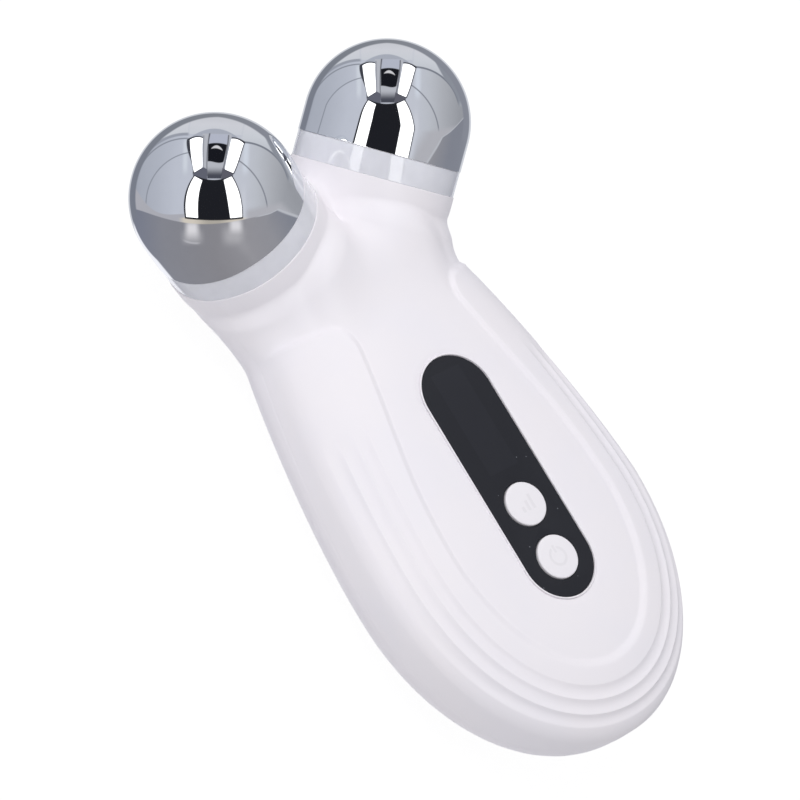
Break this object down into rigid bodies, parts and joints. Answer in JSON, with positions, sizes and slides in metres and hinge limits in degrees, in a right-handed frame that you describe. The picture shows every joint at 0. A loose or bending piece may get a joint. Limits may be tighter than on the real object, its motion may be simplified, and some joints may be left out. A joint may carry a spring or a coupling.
{
  "type": "facial toning device",
  "caption": "White hand-held facial toning device: egg-shaped grip with a dark button panel and a forked neck carrying domed chrome electrodes on clear light rings",
  "frame": {"origin": "under the middle of the bounding box, on the surface the device lies on", "axes": "+X to the device's right as seen from the panel side with the electrodes up, +Y from the tail towards the electrodes, +Z out of the panel"},
  "size_m": [0.0668, 0.1217, 0.0381],
  "materials": {
    "shell_white": "satin",
    "panel_black": "smooth",
    "button_white": "satin",
    "switch_black": "moulded",
    "switch_plunger": "moulded",
    "display_black": "smooth",
    "board_green": "solder mask",
    "fastener_steel": "plain",
    "ferrite": "sintered",
    "chip_black": "moulded",
    "battery_wrap": "foil",
    "foam": "foam",
    "socket_steel": "plain",
    "electrode_chrome": "mirror",
    "ring_clear": "clear",
    "board_white": "solder mask",
    "led_lens": "clear",
    "carrier_plastic": "moulded",
    "terminal_brass": "plain",
    "lead_red": "insulation",
    "lead_white": "insulation",
    "lead_black": "insulation"
  },
  "bodies": {
    "device": {"front_housing": "shell_white", "rear_housing": "shell_white", "control_panel": "panel_black", "mode_switch": "switch_black", "power_switch": "switch_black", "display_module": "display_black", "main_board": "board_green", "board_screws": "fastener_steel", "boost_transformer": "ferrite", "controller_chip": "chip_black", "battery": "battery_wrap", "battery_pad": "foam", "charge_board": "board_green", "usb_socket": "socket_steel", "left_electrode": "electrode_chrome", "right_electrode": "electrode_chrome", "left_light_ring": "ring_clear", "right_light_ring": "ring_clear", "left_ring_board": "board_white", "right_ring_board": "board_white", "left_ring_leds": "led_lens", "right_ring_leds": "led_lens", "left_electrode_carrier": "carrier_plastic", "right_electrode_carrier": "carrier_plastic", "electrode_screws": "fastener_steel", "left_terminal": "terminal_brass", "right_terminal": "terminal_brass", "left_electrode_lead": "lead_red", "right_electrode_lead": "lead_red", "left_ring_lead": "lead_white", "right_ring_lead": "lead_white", "battery_plus_lead": "lead_red", "battery_minus_lead": "lead_black", "charge_plus_lead": "lead_red", "charge_minus_lead": "lead_black"},
    "mode_button": {"mode_button": "button_white", "mode_switch_plunger": "switch_plunger"},
    "power_button": {"power_button": "button_white", "power_switch_plunger": "switch_plunger"}
  },
  "joints": [
    {"name": "mode_button_press", "type": "slide", "parent": "device", "child": "mode_button", "axis": [0, 0, -1], "range_m": [0, 0.0005], "stiffness_N_per_m": 4000},
    {"name": "power_button_press", "type": "slide", "parent": "device", "child": "power_button", "axis": [0, 0, -1], "range_m": [0, 0.0005], "stiffness_N_per_m": 4000}
  ]
}
